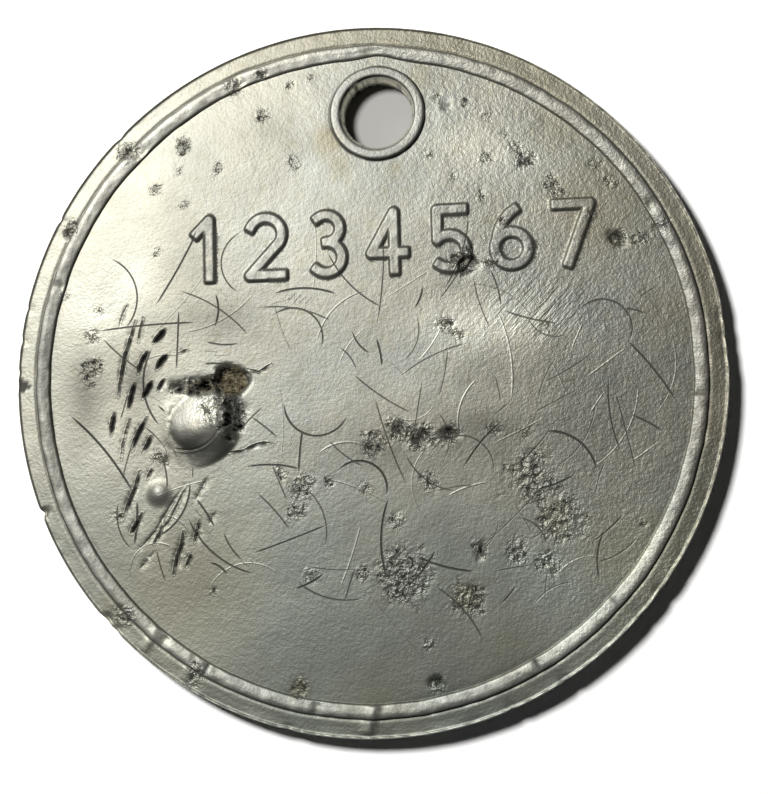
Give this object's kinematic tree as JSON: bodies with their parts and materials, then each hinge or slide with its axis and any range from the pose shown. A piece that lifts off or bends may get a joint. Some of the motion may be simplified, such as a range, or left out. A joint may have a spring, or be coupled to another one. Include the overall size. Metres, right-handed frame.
{
  "type": "identification dog tag",
  "caption": "Flat round cast-metal tag with a beaded border, a collared cord hole, a raised plain number and a scratched, corroded, blistered face.",
  "frame": {"origin": "centre of the disc on its flat back, which lies on the surface", "axes": "+Z out of the marked face, +Y towards the cord hole, +X to the right as the number is read"},
  "size_m": [0.045, 0.045, 0.0028],
  "materials": {
    "zinc": "dull as-cast zinc with a soft sheen, dark pits and a warm stain"
  },
  "bodies": {
    "root": {"disc": "zinc"}
  },
  "joints": []
}
